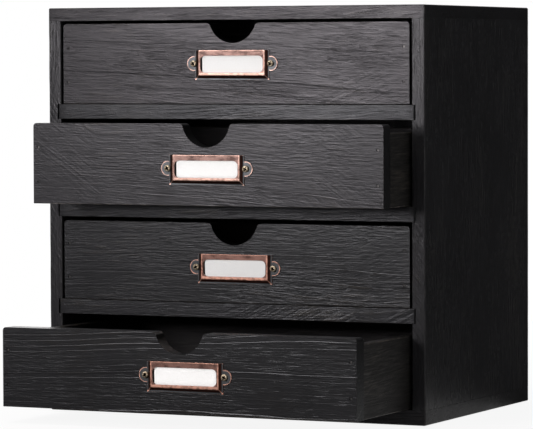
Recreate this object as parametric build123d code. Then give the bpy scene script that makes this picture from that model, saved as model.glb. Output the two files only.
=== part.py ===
from build123d import *
import os
from math import hypot, sqrt

# Desktop organizer with four drawers: millimetres, +X right, +Y back, +Z up.
# The origin is the centre of the face that it stands on.

# Cabinet boards
cabinet_width = 250.0
cabinet_depth = 172.0
top_thickness = 8.0
bottom_thickness = 9.0
side_thickness = 8.5
shelf_thickness = 9.0
back_thickness = 3.0
back_margin = 1.5
housing_depth = 2.5
glue_clearance = 0.1
board_easing = 0.6

# Drawer boxes
drawer_side_clearance = 1.5
drawer_floor_clearance = 0.3
drawer_top_clearance = 1.9
drawer_recess = 0.5
drawer_back_gap = 0.5
front_height = 48.6
front_thickness = 10.5
front_corner_radius = 2.0
front_easing = 0.7
box_side_inset = 0.5
box_side_thickness = 6.0
box_side_drop = 5.1
box_back_thickness = 6.0
box_bottom_thickness = 3.0
groove_height = 4.0
groove_depth = 3.0
groove_clearance = 0.2
pull_outs = (0.0, 38.7, 0.0, 77.7)
# How much lower each hand-planed front is than the full height
front_trims = (0.0, 0.0, 0.6, 1.2)

# Finger notch in the top edge of each front, sawn by eye: its centre over the edge and off the middle
notch_radius = 15.8
notch_rises = (3.75, 1.85, 2.5, 2.95)
notch_shifts = (0.0, 1.0, 0.6, 2.2)
notch_corner_radius = 2.5

# Brads of flat wire that hold the boards together
brad_width = 1.2
brad_gauge = 1.0
brad_length = 24.0
back_brad_length = 14.0
brad_clearance = 0.05
brad_sink = 0.3
front_brad_heights = (13.2, 33.9)
box_brad_heights = (14.0, 34.0)
box_bottom_brad_x = 62.0
carcass_brad_y = (-64.0, 0.0, 64.0)
back_brad_x = 84.0

# Pressed label frame, screwed to the front by an ear at each end
label_width = 49.2
label_height = 17.8
label_drop = 0.95
label_sheet = 0.6
label_raise = 1.6
label_wall_run = 1.8
label_lip = 1.0
label_ear_radius = 4.4
label_ear_reach = 1.0
window_side_margin = 1.05
window_top_margin = 3.3
window_bottom_margin = 1.5
window_corner_radius = 2.2
# How far each frame sits to the right of the front's middle and below it
label_shifts = (0.0, 1.7, 1.3, 6.3)
label_lowerings = (0.0, 2.1, 3.0, 1.8)

# Paper card in the label frame
card_thickness = 0.35
card_play = 3.0
card_top_drop = 0.7
card_clearance = 0.1
card_seat_gap = 0.3

# Round-head screws of the label frame
screw_shank_radius = 1.0
screw_length = 8.0
screw_tip = 2.0
screw_head_radius = 1.9
screw_head_height = 1.3
screw_crown_radius = 1.2
screw_rim_height = 0.5
screw_slot_length = 2.2
screw_slot_width = 0.5
screw_slot_depth = 0.7
screw_hole_clearance = 0.2
screw_pilot_clearance = 0.05

# Sizes that follow from those above
half_width = cabinet_width / 2
inner_half = half_width - side_thickness
front_y = -cabinet_depth / 2
rear_y = cabinet_depth / 2 - back_thickness
opening_height = drawer_floor_clearance + front_height + drawer_top_clearance
level_pitch = opening_height + shelf_thickness
drawer_count = len(pull_outs)
shelf_count = drawer_count - 1
sides_top = bottom_thickness + drawer_count * opening_height + shelf_count * shelf_thickness
cabinet_height = sides_top + top_thickness

drawer_half = inner_half - drawer_side_clearance
drawer_length = rear_y - front_y - drawer_recess - drawer_back_gap
box_outer = drawer_half - box_side_inset
box_inner = box_outer - box_side_thickness
box_side_height = front_height - box_side_drop
box_bottom_top = groove_height + box_bottom_thickness
box_bottom_half = box_inner + groove_depth - groove_clearance
box_back_y = drawer_length - box_back_thickness / 2
brad_x = box_outer - box_side_thickness / 2

label_top = label_height / 2 - label_drop
label_bottom = label_top - label_height
label_screw_x = label_width / 2 + label_ear_reach
face_half = label_width / 2 - label_lip - label_wall_run
face_bottom = label_bottom + label_lip + label_wall_run
wall_rise = label_raise - label_sheet
wall_slope = label_wall_run / wall_rise
# How far the inner face of a sloped wall lies below its outer face
wall_drop = label_sheet * hypot(label_wall_run, wall_rise) / label_wall_run
pocket_depth = label_raise - label_sheet
pocket_top_spread = (label_raise - wall_drop - pocket_depth) * wall_slope
pocket_base_spread = (label_raise - wall_drop) * wall_slope
# Where the pocket's sloped walls meet the card's front face
card_front = card_clearance + card_thickness
pocket_spread_at_card = pocket_base_spread - card_front * wall_slope
card_width = 2 * (face_half + pocket_spread_at_card) - card_play


def block(x, y, z):
    """Box between a low and a high value on each axis."""
    spans = (x, y, z)
    middle = [(low + high) / 2 for low, high in spans]
    return Pos(*middle) * Box(*[high - low for low, high in spans])


def eased(edges):
    """Board with the given arrises broken by hand."""
    return chamfer(edges, board_easing)


def long_board(x, y, z, axis):
    """Board whose arrises along one axis are broken and whose ends are cut square."""
    solid = block(x, y, z)
    return eased(solid.edges().filter_by(axis))


def bar(section, start, direction, length):
    """Bar of a flat section from a point along a direction."""
    return extrude(Plane(origin=start, z_dir=direction) * section, length)


def brad(point, direction, length):
    """Headless nail set just below the surface at a point."""
    start = Vector(point) + Vector(direction) * brad_sink
    return bar(Rectangle(brad_width, brad_gauge), start, direction, length)


def brad_hole(point, direction, length):
    """Hole that a brad makes, from outside the surface to just past the brad's end."""
    start = Vector(point) - Vector(direction) * brad_sink
    section = Rectangle(brad_width + 2 * brad_clearance, brad_gauge + 2 * brad_clearance)
    return bar(section, start, direction, length + 2 * brad_sink + brad_clearance)


def shank_section(clearance=0.0):
    """Twelve-sided section of a screw's shank, or of a hole with a clearance round it."""
    return RegularPolygon(screw_shank_radius + clearance, 12)


def drill(solid, nails, length):
    """Board with the holes of the brads that pass through it."""
    for point, direction in nails:
        solid -= brad_hole(point, direction, length)
    return solid


def drawer_floor(index):
    """Face that a drawer runs on, counted from the top."""
    return bottom_thickness + (shelf_count - index) * level_pitch


def shelf_level(index):
    """Underside of the shelf below a drawer, counted from the top."""
    return drawer_floor(index) - shelf_thickness


def carcass_nails():
    """Points and directions of the brads that pin the top and bottom to the sides."""
    nails = []
    for side in (-1, 1):
        x = side * (half_width - side_thickness / 2)
        for y in carcass_brad_y:
            nails.append(((x, y, cabinet_height), (0, 0, -1)))
            nails.append(((x, y, 0), (0, 0, 1)))
    return nails


def back_nails():
    """Points and directions of the brads that pin the back panel on."""
    y = cabinet_depth / 2
    levels = [bottom_thickness / 2, sides_top + top_thickness / 2]
    levels += [shelf_level(index) + shelf_thickness / 2 for index in range(shelf_count)]
    return [((x, y, z), (0, -1, 0)) for z in levels for x in (-back_brad_x, 0, back_brad_x)]


def cabinet():
    """Boards and brads of the fixed cabinet, by name."""
    depth = (front_y, rear_y)
    carcass = carcass_nails()
    back = back_nails()
    parts = {}
    for name, thickness, low in (
        ("top_panel", top_thickness, sides_top),
        ("bottom_panel", bottom_thickness, 0),
    ):
        panel = block((-half_width, half_width), depth, (low, low + thickness))
        panel = eased(panel.edges())
        parts[name] = drill(drill(panel, carcass, brad_length), back, back_brad_length)
    for name, side in (("left_side_panel", -1), ("right_side_panel", 1)):
        x = sorted((side * inner_half, side * half_width))
        panel = long_board(x, depth, (bottom_thickness, sides_top), Axis.Z)
        housing_x = sorted((side * inner_half, side * (inner_half + housing_depth)))
        for index in range(shelf_count):
            level = (shelf_level(index), drawer_floor(index) + glue_clearance)
            panel -= block(housing_x, depth, level)
        parts[name] = drill(panel, carcass, brad_length)
    shelf_half = inner_half + housing_depth - glue_clearance
    for index in range(shelf_count):
        level = (shelf_level(index), drawer_floor(index))
        shelf = long_board((-shelf_half, shelf_half), depth, level, Axis.X)
        parts[f"shelf_{index + 1}"] = drill(shelf, back, back_brad_length)
    back_half = half_width - back_margin
    panel = block(
        (-back_half, back_half),
        (rear_y, rear_y + back_thickness),
        (back_margin, cabinet_height - back_margin),
    )
    parts["back_panel"] = drill(panel, back, back_brad_length)
    parts["carcass_brads"] = Compound([brad(*nail, brad_length) for nail in carcass])
    parts["back_panel_brads"] = Compound([brad(*nail, back_brad_length) for nail in back])
    return parts


def front_nails():
    """Brads through a drawer front into the ends of the drawer's sides."""
    return [((side * brad_x, 0, z), (0, 1, 0)) for side in (-1, 1) for z in front_brad_heights]


def box_back_nails():
    """Brads through a drawer's sides into the ends of its back board."""
    return [
        ((side * box_outer, box_back_y, z), (-side, 0, 0))
        for side in (-1, 1)
        for z in box_brad_heights
    ]


def box_bottom_nails():
    """Brads up through a drawer's bottom into its back board."""
    return [((x, box_back_y, groove_height), (0, 0, 1)) for x in (-box_bottom_brad_x, box_bottom_brad_x)]


def front_outline(index):
    """Drawer front seen square on, with its finger notch."""
    height = front_height - front_trims[index]
    rise, middle = notch_rises[index], notch_shifts[index]
    outline = Pos(0, height / 2) * Rectangle(2 * drawer_half, height)
    outline -= Pos(middle, height + rise) * Circle(notch_radius)
    notch_half = sqrt(notch_radius**2 - rise**2)
    corners = ((middle, notch_half, notch_corner_radius), (0, drawer_half, front_corner_radius))
    for centre, half, radius in corners:
        top = outline.vertices().group_by(Axis.Y)[-1]
        outline = fillet([v for v in top if abs(abs(v.X - centre) - half) < glue_clearance], radius)
    return outline


def label_place(index):
    """Middle of a front's label frame, level with its screws."""
    return Pos(label_shifts[index], 0, front_height / 2 - label_lowerings[index])


def drawer_front(index):
    """Front board, its outer face on y = 0."""
    board = extrude(Plane.XZ * front_outline(index), -front_thickness)
    outer = board.faces().sort_by(Axis.Y)[0]
    board = chamfer(outer.edges(), front_easing)
    groove_half = box_bottom_half + groove_clearance
    groove_top = box_bottom_top + groove_clearance
    groove = (front_thickness - groove_depth, front_thickness)
    board -= block((-groove_half, groove_half), groove, (groove_height, groove_top))
    pilot = shank_section(screw_pilot_clearance)
    for x in (-label_screw_x, label_screw_x):
        board -= label_place(index) * bar(pilot, (x, 0, 0), (0, 1, 0), screw_length)
    return drill(board, front_nails(), brad_length)


def drawer_side(side):
    """Side board behind the front, grooved inside for the bottom panel."""
    x = sorted((side * box_inner, side * box_outer))
    length = (front_thickness, drawer_length)
    board = long_board(x, length, (0, box_side_height), Axis.Y)
    groove_x = sorted((side * box_inner, side * (box_inner + groove_depth)))
    board -= block(groove_x, length, (groove_height, box_bottom_top + groove_clearance))
    board = drill(board, front_nails(), brad_length)
    return drill(board, box_back_nails(), brad_length)


def drawer_back():
    """Back board between the sides, standing on the bottom panel."""
    depth = (drawer_length - box_back_thickness, drawer_length)
    board = long_board((-box_inner, box_inner), depth, (box_bottom_top, box_side_height), Axis.X)
    board = drill(board, box_back_nails(), brad_length)
    return drill(board, box_bottom_nails(), back_brad_length)


def drawer_bottom():
    """Thin panel in the grooves of the front and sides, pinned under the back board."""
    depth = (front_thickness - groove_depth + groove_clearance, drawer_length)
    panel = block((-box_bottom_half, box_bottom_half), depth, (groove_height, box_bottom_top))
    return drill(panel, box_bottom_nails(), back_brad_length)


def drawer_brads():
    """All the brads of one drawer."""
    nails = [brad(*nail, brad_length) for nail in front_nails() + box_back_nails()]
    nails += [brad(*nail, back_brad_length) for nail in box_bottom_nails()]
    return Compound(nails)


def label_panel(half, low, high):
    """Rectangle of the label frame's front view, level with its screws."""
    return Pos(0, (low + high) / 2) * Rectangle(2 * half, high - low)


def label_frame():
    """Pressed frame, open at the top for the card, its back on y = 0 and its screws on z = 0."""
    wood = Plane.XZ
    plate = label_panel(label_width / 2, label_bottom, label_top)
    for x in (-label_screw_x, label_screw_x):
        plate += Pos(x, 0) * Circle(label_ear_radius)
        plate -= Pos(x, 0) * shank_section(screw_hole_clearance)
    raised = loft(
        [
            wood.offset(label_sheet)
            * label_panel(face_half + label_wall_run, face_bottom - label_wall_run, label_top),
            wood.offset(label_raise) * label_panel(face_half, face_bottom, label_top),
        ],
        ruled=True,
    )
    pocket = loft(
        [
            wood.offset(offset)
            * label_panel(face_half + spread, face_bottom - spread, label_top + label_height)
            for offset, spread in ((0, pocket_base_spread), (pocket_depth, pocket_top_spread))
        ],
        ruled=True,
    )
    window = label_panel(
        face_half - window_side_margin,
        face_bottom + window_bottom_margin,
        label_top - window_top_margin,
    )
    window = fillet(window.vertices(), window_corner_radius)
    return extrude(wood * plate, label_sheet) + raised - pocket - extrude(wood * window, label_raise)


def label_card():
    """Card pushed to the right in its frame, standing on the frame's lower wall."""
    right = face_half + pocket_spread_at_card - card_seat_gap
    low = face_bottom - pocket_spread_at_card + card_seat_gap
    high = label_top - card_top_drop
    return block((right - card_width, right), (-card_front, -card_clearance), (low, high))


def label_screw():
    """Round-head cross-recess screw, its head's seat on z = 0 and its point below."""
    section = Polyline(
        (0, 0),
        (screw_head_radius, 0),
        (screw_head_radius, screw_rim_height),
        (screw_crown_radius, screw_head_height),
        (0, screw_head_height),
        close=True,
    )
    tip_start = Pos(0, 0, screw_tip - screw_length) * shank_section()
    screw = revolve(Plane.XZ * make_face(section), Axis.Z)
    screw += extrude(tip_start, screw_length - screw_tip)
    screw += loft([tip_start.face(), Vertex(0, 0, -screw_length)], ruled=True)
    for turn in (0, 90):
        slot = Box(screw_slot_length, screw_slot_width, 2 * screw_slot_depth)
        screw -= Pos(0, 0, screw_head_height) * Rot(0, 0, turn) * slot
    return screw


def label_screws():
    """Both screws of a label frame, their heads on its ears."""
    seats = [
        Plane(origin=(x, -label_sheet, 0), z_dir=(0, -1, 0))
        for x in (-label_screw_x, label_screw_x)
    ]
    return Compound([seat.location * label_screw() for seat in seats])


def drawer_box():
    """Pieces that all the drawers have alike, by name, behind a front on y = 0 and z = 0."""
    return {
        "left_side": drawer_side(-1),
        "right_side": drawer_side(1),
        "back": drawer_back(),
        "bottom": drawer_bottom(),
        "brads": drawer_brads(),
    }


def label_set():
    """Label frame, card and screws, by name, with the screws on z = 0."""
    return {"label_frame": label_frame(), "label_card": label_card(), "label_screws": label_screws()}


def drawer(index, box, label):
    """Pieces of one drawer, by name, counted from the top."""
    at_label = label_place(index)
    pieces = {"front": drawer_front(index), **box}
    pieces.update({name: at_label * solid for name, solid in label.items()})
    return pieces


def drawer_place(index):
    """Where a drawer stands, counted from the top, pulled out by its own length."""
    y = front_y + drawer_recess - pull_outs[index]
    return Pos(0, y, drawer_floor(index) + drawer_floor_clearance)


os.makedirs("parts", exist_ok=True)
for name, solid in cabinet().items():
    export_step(solid, f"parts/{name}.step")
box_pieces, label_pieces = drawer_box(), label_set()
for index in range(drawer_count):
    for name, solid in drawer(index, box_pieces, label_pieces).items():
        export_step(drawer_place(index) * solid, f"parts/drawer_{index + 1}_{name}.step")
print(f"cabinet {cabinet_width} x {cabinet_depth} x {cabinet_height} mm, drawer length {drawer_length} mm")
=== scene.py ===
"""Dressed model of a black-stained desktop organizer with four drawers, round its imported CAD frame."""

import logging
import math
from dataclasses import dataclass, replace
from enum import Enum
from typing import Iterable, Optional, Sequence, Union

import bmesh
import bpy
from bmesh.types import BMEdge, BMesh, BMFace, BMVert
from bpy.types import Material, Node, NodeSocket, NodeTree, Object
from mathutils import Euler, Matrix, Vector, noise

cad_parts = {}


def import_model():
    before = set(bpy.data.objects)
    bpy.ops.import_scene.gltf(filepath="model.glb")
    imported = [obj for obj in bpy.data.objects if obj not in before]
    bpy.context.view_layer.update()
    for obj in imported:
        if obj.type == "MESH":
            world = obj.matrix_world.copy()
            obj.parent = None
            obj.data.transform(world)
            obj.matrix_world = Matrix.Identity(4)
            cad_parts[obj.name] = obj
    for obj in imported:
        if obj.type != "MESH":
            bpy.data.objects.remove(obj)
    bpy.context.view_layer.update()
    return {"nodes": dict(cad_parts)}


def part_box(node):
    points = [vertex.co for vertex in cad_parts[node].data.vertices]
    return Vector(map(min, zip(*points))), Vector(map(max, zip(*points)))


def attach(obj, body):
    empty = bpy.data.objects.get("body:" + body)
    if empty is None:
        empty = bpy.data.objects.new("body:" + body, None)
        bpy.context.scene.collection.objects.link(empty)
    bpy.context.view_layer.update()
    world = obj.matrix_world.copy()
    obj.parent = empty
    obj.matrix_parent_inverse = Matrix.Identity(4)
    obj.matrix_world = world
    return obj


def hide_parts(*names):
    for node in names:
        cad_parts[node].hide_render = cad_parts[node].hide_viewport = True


Colour = tuple[float, float, float, float]
Point = tuple[float, float, float]
Span = tuple[float, float]
Value = Union[float, Sequence[float], NodeSocket]

LOG = logging.getLogger("organizer")
MM = 0.001
WELD = 1e-7  # points closer than this are one point
TOUCH = 1e-6  # a point closer than this to a plane lies on it
ALONG = 0.9  # least share on an axis for an edge to run along it, or a face to look along it
SMOOTH_ANGLE = 48.0  # faces that meet at less are shaded as one surface, in degrees
WEAR_LAYER = "edge_wear"
# face attribute for painted shade in recesses, the notch, shelf chamfers, the box's inside and the frames'
# walls, and for the flanges' tarnish
DARKENING_LAYER = "painted_shade_and_tarnish"
RUB = 0.22 * MM  # most that hands rubbed off an arris
RUB_PATCHES = 70.0  # patches of that rubbing per metre
DIMPLE = 0.32 * MM  # depth of the holes over the set brads
BRAD_HOLE: Span = (2.1 * MM, 1.9 * MM)  # width and gauge of such a hole
FINE_RELIEF = 0.00003  # height of the finest unevenness of metal and paper, in metres
SHELVES = ("shelf_1", "shelf_2", "shelf_3")
WHITE: Colour = (1.0, 1.0, 1.0, 1.0)
VIOLET: Colour = (1.0, 0.950, 1.0, 1.0)
NEUTRAL: Colour = (0.965, 0.97, 1.0, 1.0)


@dataclass(frozen=True)
class Streak:
    """Marks drawn out along the grain.

    Attributes:
        share: width of a mark over its length.
        scale: marks per metre across the grain.
        detail: octaves of finer marks.
    """

    share: float
    scale: float
    detail: float = 2.0


STRAND = Streak(0.05, 520.0)
FLECK = Streak(0.24, 820.0)
FIBRE = Streak(0.06, 1000.0, 3.0)
PATCH = Streak(0.45, 24.0, 3.0)
PLANE_MARK = Streak(0.08, 620.0, 1.0)
# the grain's wavering, coarse to fine: share as in a streak, lumps per metre, reach in metres
BENDS = ((0.30, 12.0, 0.016), (0.20, 62.0, 0.0022), (0.16, 210.0, 0.0004))
# places through one growth ring and the wood's height there, 0.5 being level
RING_WAVE = ((0.0, 0.44), (0.40, 0.48), (0.66, 0.70), (0.80, 1.0), (0.90, 0.16), (1.0, 0.44))
MID_TONE = 0.46  # tone of level wood
END_GRAIN_SHADE = -0.16  # how much darker end grain is


class NodeBench:
    """Lays out the nodes of one material and joins their sockets."""

    def __init__(self, tree: NodeTree, keep: bool = False) -> None:
        """Takes up a node tree.

        Args:
            tree: the tree of a material or of the world.
            keep: whether the nodes in it stay.
        """
        self.tree = tree
        if not keep:
            tree.nodes.clear()

    def add(
        self, kind: str, inputs: Optional[dict[Union[str, int], Value]] = None, **settings: object
    ) -> Node:
        """Adds a node.

        Args:
            kind: Blender's name of the node's type, without its first words.
            inputs: value or socket for each input, by name or number.
            **settings: attributes of the node itself.

        Returns:
            The new node.
        """
        node = self.tree.nodes.new(f"ShaderNode{kind}")
        for name, value in settings.items():
            setattr(node, name, value)
        for name, value in (inputs or {}).items():
            self.feed(node.inputs[name], value)
        return node

    def feed(self, socket: NodeSocket, value: Value) -> None:
        """Joins a socket to an input, or sets the input's own value.

        Args:
            socket: the input.
            value: what it gets.
        """
        if isinstance(value, NodeSocket):
            self.tree.links.new(value, socket)
        else:
            socket.default_value = value

    def math(self, operation: str, *values: Value, clamp: bool = False) -> NodeSocket:
        """Works out a number, held between 0 and 1 if it is clamped."""
        return self.add("Math", dict(enumerate(values)), operation=operation, use_clamp=clamp).outputs[0]

    def vector(self, operation: str, *values: Value) -> NodeSocket:
        """Works out a vector, or a number for a length or a dot product."""
        node = self.add("VectorMath", dict(enumerate(values)), operation=operation)
        return node.outputs["Value" if operation in ("LENGTH", "DOT_PRODUCT") else "Vector"]

    def noise(
        self, at: Value, scale: float, detail: float = 2.0, rough: float = 0.5, out: str = "Fac"
    ) -> NodeSocket:
        """Reads a noise with so many lumps per metre and octaves, as a number or as a colour."""
        inputs = {"Vector": at, "Scale": scale, "Detail": detail, "Roughness": rough}
        return self.add("TexNoise", inputs, normalize=True).outputs[out]

    def spread(self, value: Value, low: float, high: float, to: Span = (0.0, 1.0)) -> NodeSocket:
        """Maps the numbers from low to high smoothly onto another range."""
        inputs = {"Value": value, "From Min": low, "From Max": high, "To Min": to[0], "To Max": to[1]}
        return self.add("MapRange", inputs, interpolation_type="SMOOTHSTEP").outputs["Result"]

    def blend(self, share: Value, first: Value, second: Value) -> NodeSocket:
        """Mixes a share of the second colour into the first."""
        return self.add("Mix", {0: share, 6: first, 7: second}, data_type="RGBA").outputs[2]

    def attribute(self, name: str) -> NodeSocket:
        """Reads a number that the piece's mesh carries."""
        return self.add("Attribute", attribute_name=name).outputs["Fac"]

    def distance(self, across: Value, height: Value) -> NodeSocket:
        """Works out the length of a way across and up."""
        return self.vector("LENGTH", self.add("CombineXYZ", {"X": across, "Z": height}).outputs["Vector"])

    def stretch(self, at: Value, share: float) -> NodeSocket:
        """Draws a point's pattern out along X."""
        return self.vector("MULTIPLY", at, (share, 1.0, 1.0))

    def streaks(self, at: Value, mark: Streak) -> NodeSocket:
        """Works out the height of marks along X, about 0."""
        lumps = self.noise(self.stretch(at, mark.share), mark.scale, mark.detail, 0.6)
        return self.math("MULTIPLY", self.math("SUBTRACT", lumps, 0.5), 2.0)

    def total(self, *parts: tuple[Value, float]) -> Value:
        """Adds up weighted numbers.

        Args:
            *parts: the numbers, each with its weight.

        Returns:
            Their sum.
        """
        result: Value = 0.0
        for number, weight in parts:
            result = self.math("MULTIPLY_ADD", number, weight, result)
        return result

    def ramp(self, value: Value, stops: Sequence[tuple[float, Colour]]) -> NodeSocket:
        """Turns a number into a colour.

        Args:
            value: the number, from 0 to 1.
            stops: places along the ramp and their colours.

        Returns:
            The colour's socket.
        """
        node = self.add("ValToRGB", {"Fac": value})
        elements = node.color_ramp.elements
        while len(elements) < len(stops):
            elements.new(0.5)
        for element, (place, colour) in zip(elements, stops):
            element.position, element.color = place, colour
        return node.outputs["Color"]

    def close(self, kind: str, surface: NodeSocket) -> None:
        """Ends the tree with an output that shows a shader."""
        self.add(kind, {"Surface": surface})

    def principled(
        self, colour: Value, rough: Value, bump: tuple[float, float, Value], fixed: dict[str, Value]
    ) -> None:
        """Ends a material's tree with its one shader.

        Args:
            colour: base colour.
            rough: roughness.
            bump: strength, distance and height of the relief.
            fixed: constants of the shader, by name.
        """
        relief = self.add("Bump", dict(zip(("Strength", "Distance", "Height"), bump)))
        inputs = {"Base Color": colour, "Roughness": rough, "Normal": relief.outputs["Normal"], **fixed}
        self.close("OutputMaterial", self.add("BsdfPrincipled", inputs).outputs["BSDF"])


def new_material(name: str) -> tuple[Material, NodeBench]:
    """Makes a node material.

    Args:
        name: the material's name.

    Returns:
        The material and the bench for its nodes.
    """
    material = bpy.data.materials.new(name)
    material.use_nodes = True
    return material, NodeBench(material.node_tree)


class GrainAxis(Enum):
    """Which way a board's grain runs."""

    ACROSS = "across"
    DEEP = "deep"
    UPRIGHT = "upright"

    @property
    def turn(self) -> Matrix:
        """Turn that lays the grain along X.

        Returns:
            The turn, as a 3 by 3 matrix.
        """
        if self is GrainAxis.DEEP:
            return Matrix.Rotation(-math.pi / 2, 3, "Z")
        if self is GrainAxis.UPRIGHT:
            return Matrix.Rotation(math.pi / 2, 3, "Y")
        return Matrix.Identity(3)

    @property
    def direction(self) -> Vector:
        """Unit vector along the grain."""
        return self.turn.transposed() @ Vector((1.0, 0.0, 0.0))


@dataclass(frozen=True)
class BoardCut:
    """How a board was sawn out of its log.

    Attributes:
        axis: way that the grain runs.
        heart: place of the log's heart from the board's middle, across the grain, in metres.
        lean: how far the heart's line leans against the board, in radians about the two cross axes.
    """

    axis: GrainAxis
    heart: Span
    lean: Span

    def placing(self, middle: Vector) -> tuple[Vector, Euler]:
        """Location and rotation that centre the growth rings on the heart, for a board's middle."""
        turn = Euler((0.0, *self.lean)).to_matrix() @ self.axis.turn
        return -(turn @ middle) - Vector((0.0, *self.heart)), turn.to_euler()


@dataclass(frozen=True)
class StainedWood:
    """Softwood under a thin black stain, its grain raised by the brush.

    Attributes:
        deep: colour in the pores and furrows.
        body: colour of most of the wood.
        ridge: colour where the stain is thin on the raised grain.
        warm: colour of the ridges where the stain has turned brownish.
        rubbed: colour of arrises that hands have rubbed.
        painted_shade: near-black colour painted as shade on the marked faces, where the grain is also
            flattened.
        cast: faint cast of the stain's shine.
        ring_pitch: distance between growth rings, in metres.
        ring_weight: how strongly the rings show.
        strand_weight: how strongly the long strands of fibre show.
        fleck_weight: how strongly the short broken marks show.
        fibre_weight: how strongly the finest fibres show.
        chatter: how strongly the slanting marks of the plane show.
        slant: how far those marks rise across the grain, in degrees.
        dark: share of the deep colour mixed over it all, as painted shade.
        relief: height of the raised grain, in metres.
        gloss: shine of the stain.
        roughness: lowest and highest roughness.
    """

    deep: Colour = (0.0058, 0.0056, 0.0060, 1.0)
    body: Colour = (0.0142, 0.0139, 0.0152, 1.0)
    ridge: Colour = (0.0360, 0.0345, 0.0375, 1.0)
    warm: Colour = (0.0385, 0.0345, 0.0310, 1.0)
    rubbed: Colour = (0.1000, 0.0860, 0.0740, 1.0)
    painted_shade: Colour = (0.0015, 0.0015, 0.0015, 1.0)
    cast: Colour = VIOLET
    ring_pitch: float = 0.0030
    ring_weight: float = 1.0
    strand_weight: float = 1.0
    fleck_weight: float = 1.0
    fibre_weight: float = 1.0
    chatter: float = 0.3
    slant: float = 24.0
    dark: float = 0.0
    relief: float = 0.00010
    gloss: float = 0.215
    roughness: Span = (0.24, 0.34)

    def material(self, name: str, cut: BoardCut, middle: Vector) -> Material:
        """Makes the finish for one board.

        Args:
            name: the material's name.
            cut: how the board was sawn.
            middle: middle of the board.

        Returns:
            The material.
        """
        material, bench = new_material(name)
        coordinates = bench.add("TexCoord").outputs
        location, turn = cut.placing(middle)
        placing = {"Vector": coordinates["Object"], "Location": location, "Rotation": turn}
        at = bench.add("Mapping", placing).outputs["Vector"]
        bent = self._bend(bench, at)
        fibre, patch = bench.streaks(bent, FIBRE), bench.streaks(at, PATCH)
        relief = self._relief(bench, at, bent, fibre, patch)
        tone = bench.total((relief, 0.55), (patch, 0.40), (fibre, 0.35))
        end = bench.vector("DOT_PRODUCT", coordinates["Normal"], tuple(cut.axis.direction))
        end = bench.spread(bench.math("ABSOLUTE", end), 0.75, 0.95)
        tone = bench.math("MULTIPLY_ADD", end, END_GRAIN_SHADE, bench.math("ADD", tone, MID_TONE), clamp=True)
        tint = bench.spread(bench.noise(bench.stretch(at, 0.5), 46.0), 0.40, 0.62)
        colour = bench.ramp(tone, [(0.0, self.deep), (MID_TONE, self.body), (1.0, self.body)])
        colour = bench.blend(bench.spread(tone, 0.42, 1.0), colour, bench.blend(tint, self.ridge, self.warm))
        # painted shade: the whole board darkened by its share
        colour = bench.blend(self.dark, colour, self.deep)
        # painted shade: marked recesses and inner faces are darkened towards near black
        shade_share = bench.attribute(DARKENING_LAYER)
        colour = bench.blend(shade_share, colour, self.painted_shade)
        rub = bench.spread(bench.noise(at, 160.0, 3.0), 0.42, 0.68, (0.10, 0.75))
        colour = bench.blend(bench.math("MULTIPLY", bench.attribute(WEAR_LAYER), rub), colour, self.rubbed)
        height = bench.math("MULTIPLY", relief, bench.math("SUBTRACT", 1.0, shade_share))
        rough = bench.spread(tone, 0.1, 0.9, (self.roughness[1], self.roughness[0]))
        fixed = {"Specular IOR Level": self.gloss, "Specular Tint": self.cast}
        bench.principled(colour, rough, (1.0, self.relief, height), fixed)
        return material

    def _relief(self, bench: NodeBench, at: Value, bent: Value, fibre: Value, patch: Value) -> Value:
        """Works out the raised grain.

        Args:
            bench: the material's bench.
            at: point from the log's heart, with the grain along X.
            bent: the same point as the wavering grain sees it.
            fibre: height of the finest fibres.
            patch: broad patches of the stain, about 0.

        Returns:
            Height of the grain, about 0.
        """
        strand = bench.spread(patch, -0.30, 0.25, (0.30, 0.75))
        strand = bench.math("MULTIPLY", bench.streaks(bent, STRAND), strand)
        fleck = bench.spread(patch, -0.25, 0.30, (0.70, 0.15))
        fleck = bench.math("MULTIPLY", bench.streaks(bent, FLECK), fleck)
        fine = bench.total(
            (strand, 0.60 * self.strand_weight),
            (fleck, 0.85 * self.fleck_weight),
            (fibre, 0.70 * self.fibre_weight),
        )
        calm = bench.noise(bench.stretch(at, 0.35), 34.0)
        fine = bench.math("MULTIPLY", fine, bench.spread(calm, 0.36, 0.64, (0.45, 1.35)))
        pore = bench.spread(bench.noise(bench.stretch(bent, 0.05), 950.0, 1.0), 0.62, 0.72)
        ring, mark = self._rings(bench, at, bent), self._plane_marks(bench, at)
        return bench.total((ring, 0.55 * self.ring_weight), (fine, 1.0), (mark, self.chatter), (pore, -0.35))

    def _bend(self, bench: NodeBench, at: Value) -> NodeSocket:
        """Lets the grain waver.

        Args:
            bench: the material's bench.
            at: point from the log's heart, with the grain along X.

        Returns:
            The point as the grain sees it.
        """
        bent = at
        for share, scale, reach in BENDS:
            lumps = bench.noise(bench.stretch(at, share), scale, out="Color")
            push = bench.vector("SUBTRACT", lumps, (0.5, 0.5, 0.5))
            bent = bench.vector("ADD", bent, bench.vector("MULTIPLY", push, (0.0, reach, reach)))
        return bent

    def _rings(self, bench: NodeBench, at: Value, bent: Value) -> NodeSocket:
        """Draws the growth rings round the log's heart, each with a strength of its own.

        Args:
            bench: the material's bench.
            at: point from the heart, with the grain along X.
            bent: the same point as the grain sees it.

        Returns:
            Height of the rings, about 0.
        """
        radius = bench.vector("LENGTH", bench.vector("MULTIPLY", bent, (0.0, 1.0, 1.0)))
        turns = bench.math("DIVIDE", radius, self.ring_pitch)
        dice = bench.add("TexWhiteNoise", {"W": bench.math("FLOOR", turns)}, noise_dimensions="1D")
        strength = bench.math("POWER", dice.outputs["Value"], 1.8)
        local = bench.noise(bench.stretch(at, 0.08), 70.0)
        strength = bench.math("MULTIPLY", strength, bench.spread(local, 0.34, 0.62, (0.25, 1.0)))
        stops = [(place, (level, level, level, 1.0)) for place, level in RING_WAVE]
        wave = bench.math("SUBTRACT", bench.ramp(bench.math("FRACT", turns), stops), 0.5)
        return bench.math("MULTIPLY", wave, bench.math("MULTIPLY", strength, 2.0))

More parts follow.
